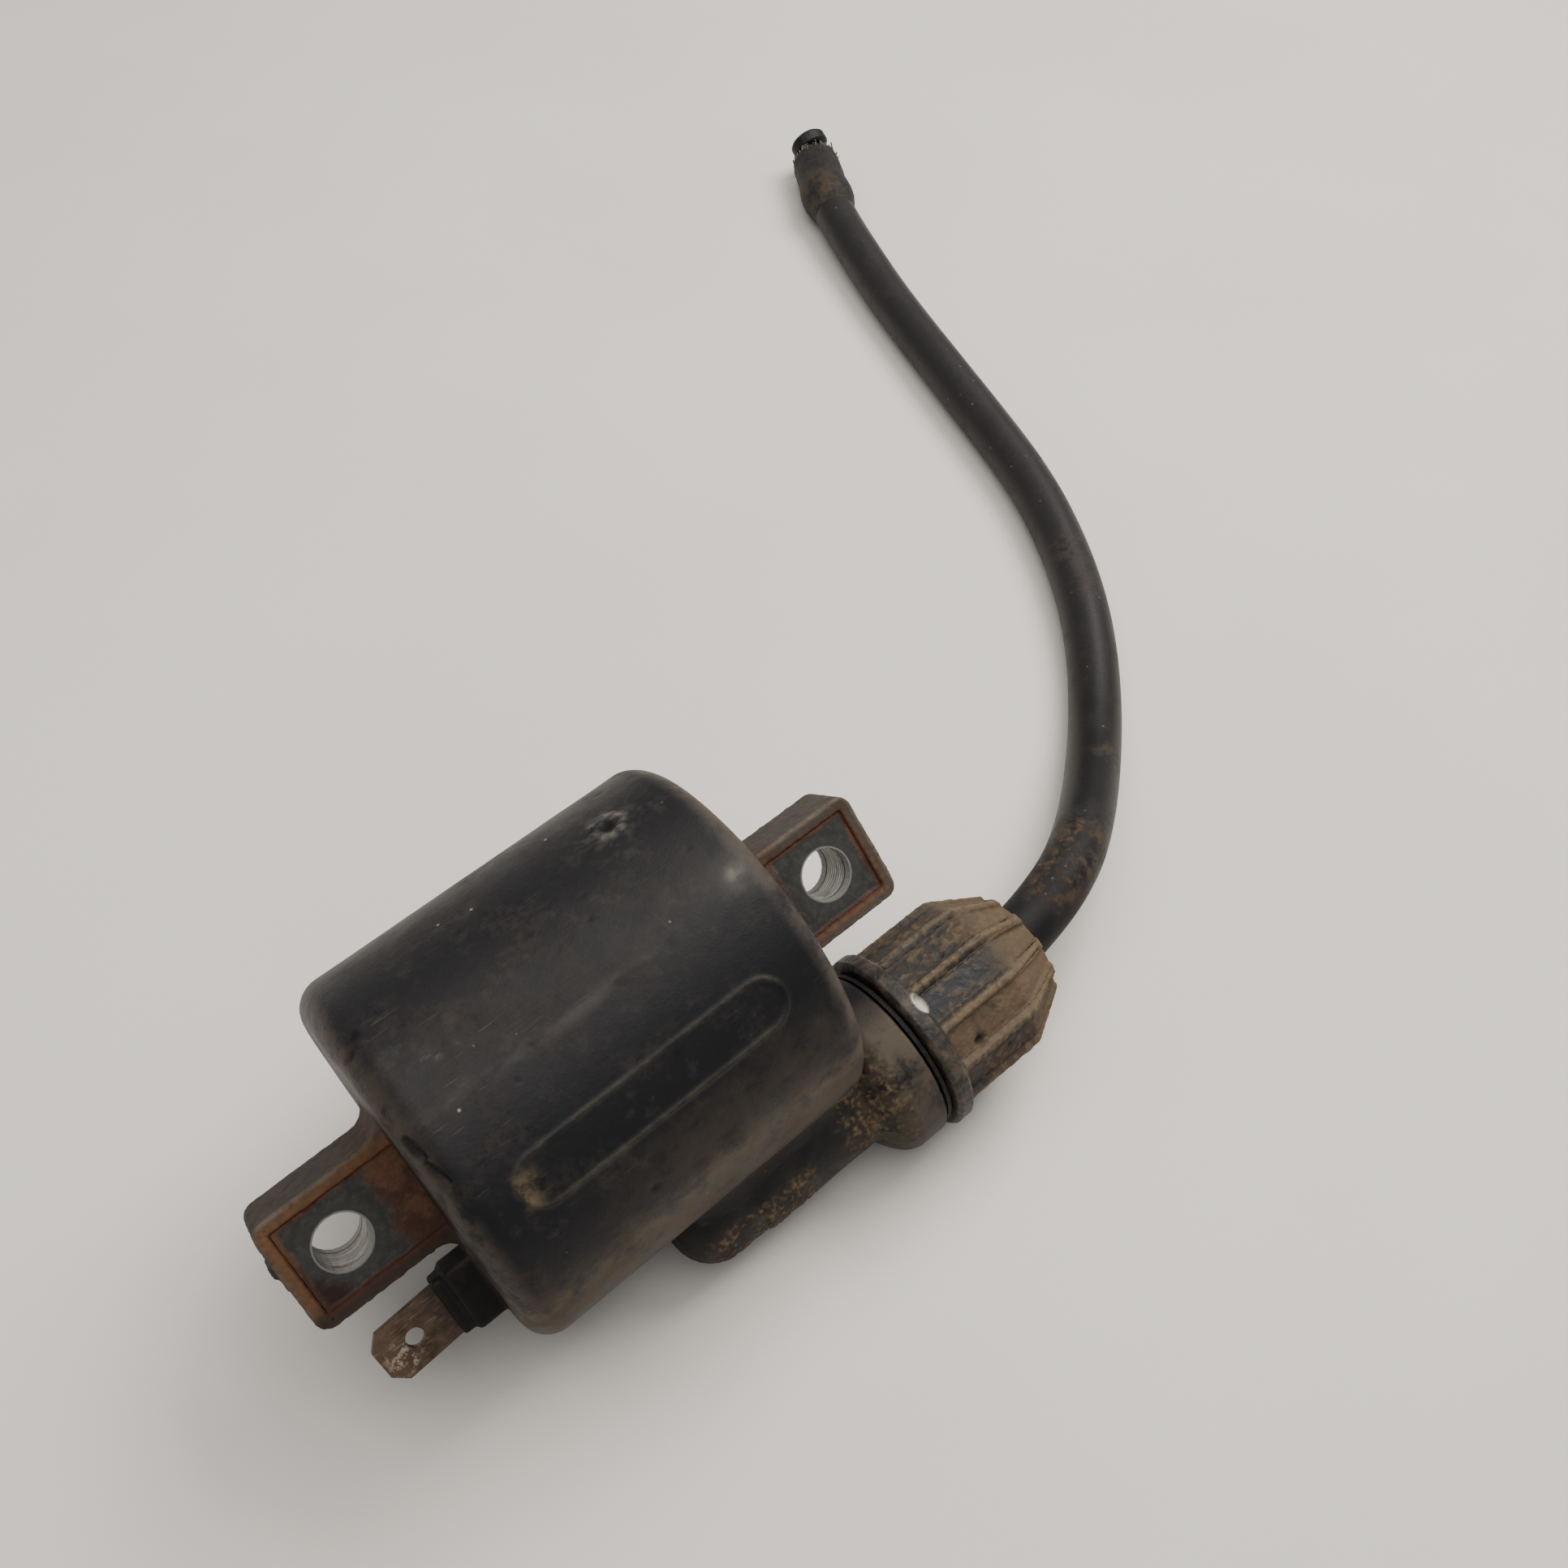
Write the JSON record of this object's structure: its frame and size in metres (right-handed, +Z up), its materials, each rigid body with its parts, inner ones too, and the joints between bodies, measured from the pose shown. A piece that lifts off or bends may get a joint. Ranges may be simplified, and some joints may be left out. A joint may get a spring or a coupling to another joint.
{
  "type": "ignition coil",
  "caption": "Motorcycle ignition coil: round moulded case on a laminated core with bolt lugs, blade terminal, screw-capped lead tower and short HT lead.",
  "frame": {"origin": "centre of the coil's footprint box on the surface it lies on, lead not counted", "axes": "+Z up from that surface; the core and the lead tower point 42.5 degrees from +X towards +Y and 6.9 degrees up; the lead runs away towards +Y"},
  "size_m": [0.1011, 0.2479, 0.0487],
  "materials": {
    "case_plastic": "satin charcoal moulding, dusty, with worn rims",
    "cap_plastic": "dull, with tan dirt in the panels",
    "core_steel": "dull blue-grey, rusted towards the edges",
    "zinc_steel": "dull zinc plate",
    "tab_brass": "tarnished brown",
    "contact_brass": "plain",
    "copper": "bright copper wire",
    "winding_enamel": "fine enamelled wire",
    "bobbin_plastic": "natural nylon",
    "paper": "varnished paper",
    "potting_resin": "dark cast resin",
    "seal_rubber": "old black rubber",
    "lead_rubber": "satin black-grey with dirt",
    "old_rubber": "perished, stained brown",
    "plug_rubber": "black, slightly shiny"
  },
  "bodies": {
    "coil": {"case": "case_plastic", "core_sheet_1": "core_steel", "core_sheet_2": "core_steel", "core_sheet_3": "core_steel", "core_sheet_4": "core_steel", "core_sheet_5": "core_steel", "bush_terminal_end": "zinc_steel", "bush_cap_end": "zinc_steel", "primary_bobbin": "bobbin_plastic", "primary_winding": "copper", "insulation_sleeve": "paper", "secondary_bobbin": "bobbin_plastic", "secondary_section_1": "winding_enamel", "secondary_section_2": "winding_enamel", "secondary_section_3": "winding_enamel", "secondary_section_4": "winding_enamel", "secondary_section_5": "winding_enamel", "secondary_section_6": "winding_enamel", "potting": "potting_resin", "terminal_tab": "tab_brass", "primary_wire": "copper", "earth_wire": "copper", "ht_wire": "copper", "ht_contact": "contact_brass", "tower_seal": "seal_rubber", "lead_gland": "seal_rubber", "ht_lead": "lead_rubber", "lead_end_sleeve": "old_rubber", "lead_end_plug": "plug_rubber"},
    "washer": {"thrust_washer": "zinc_steel"},
    "cap": {"screw_cap": "cap_plastic"}
  },
  "joints": [
    {"name": "cap_travel", "type": "slide", "parent": "coil", "child": "washer", "axis": [0.7318, 0.6708, 0.1207], "range_m": [0, 0.002]},
    {"name": "cap_turn", "type": "hinge", "parent": "washer", "child": "cap", "pos_m": [0.02855, 0.01453, 0.01239], "axis": [0.7318, 0.6708, 0.1207], "range_deg": [0, 360]}
  ],
  "couplings": [
    {"joint": "cap_travel", "follows": "cap_turn", "m_per_rad": 0.0003183}
  ]
}
